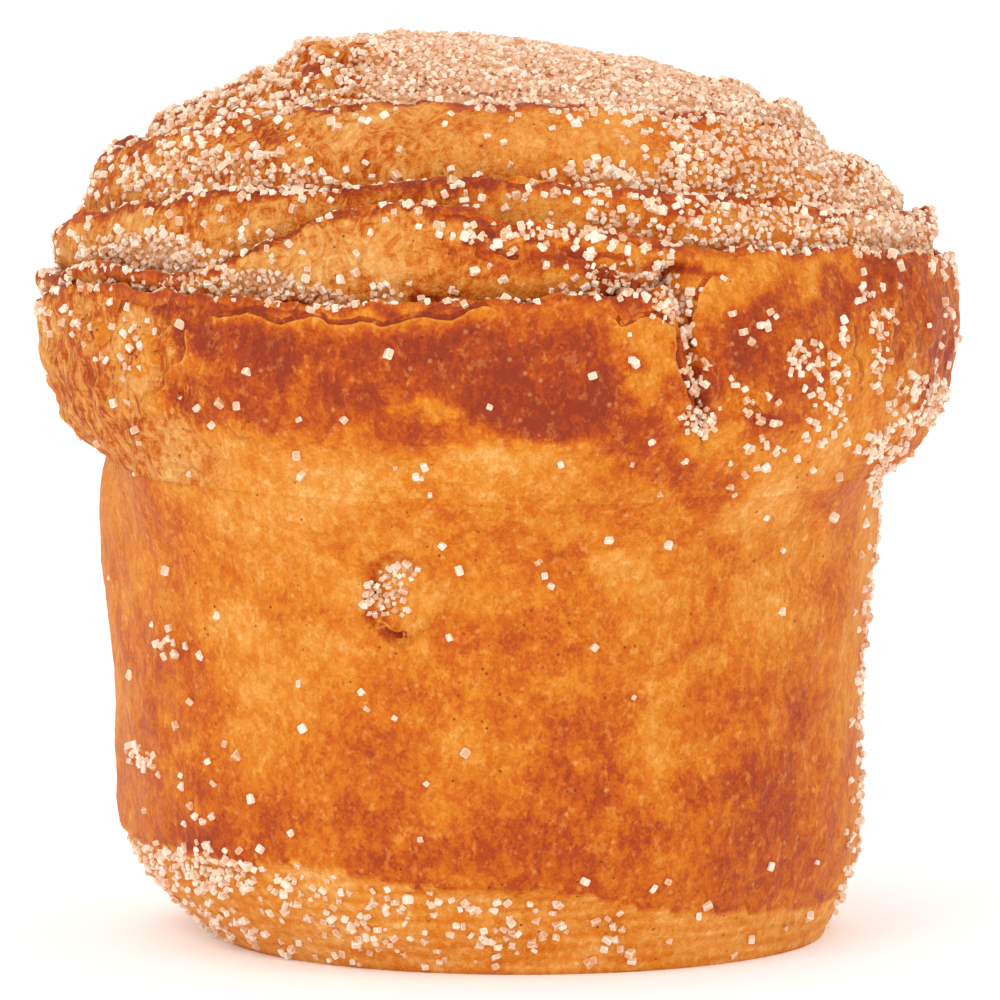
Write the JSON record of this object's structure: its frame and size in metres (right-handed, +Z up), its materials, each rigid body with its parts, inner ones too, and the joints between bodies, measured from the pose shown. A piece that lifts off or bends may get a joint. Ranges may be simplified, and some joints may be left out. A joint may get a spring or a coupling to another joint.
{
  "type": "cruffin",
  "caption": "Muffin-shaped pastry of coiled laminated dough: straight tapered body, overhanging collar, domed spiral top with stepped layers and a torn seam, dusted with sugar crystals.",
  "frame": {"origin": "centre of the bounding box's footprint, on the flat base", "axes": "+Z up, out of the domed top; -Y towards the front, where the outer wrap's torn seam is a little right of centre; +X to the right seen from the front"},
  "size_m": [0.0848, 0.0828, 0.0847],
  "materials": {
    "crust": "baked crust, golden brown, satin where glazed and matt where flaky, with sugar crystals"
  },
  "bodies": {
    "root": {"cruffin": "crust"}
  },
  "joints": []
}
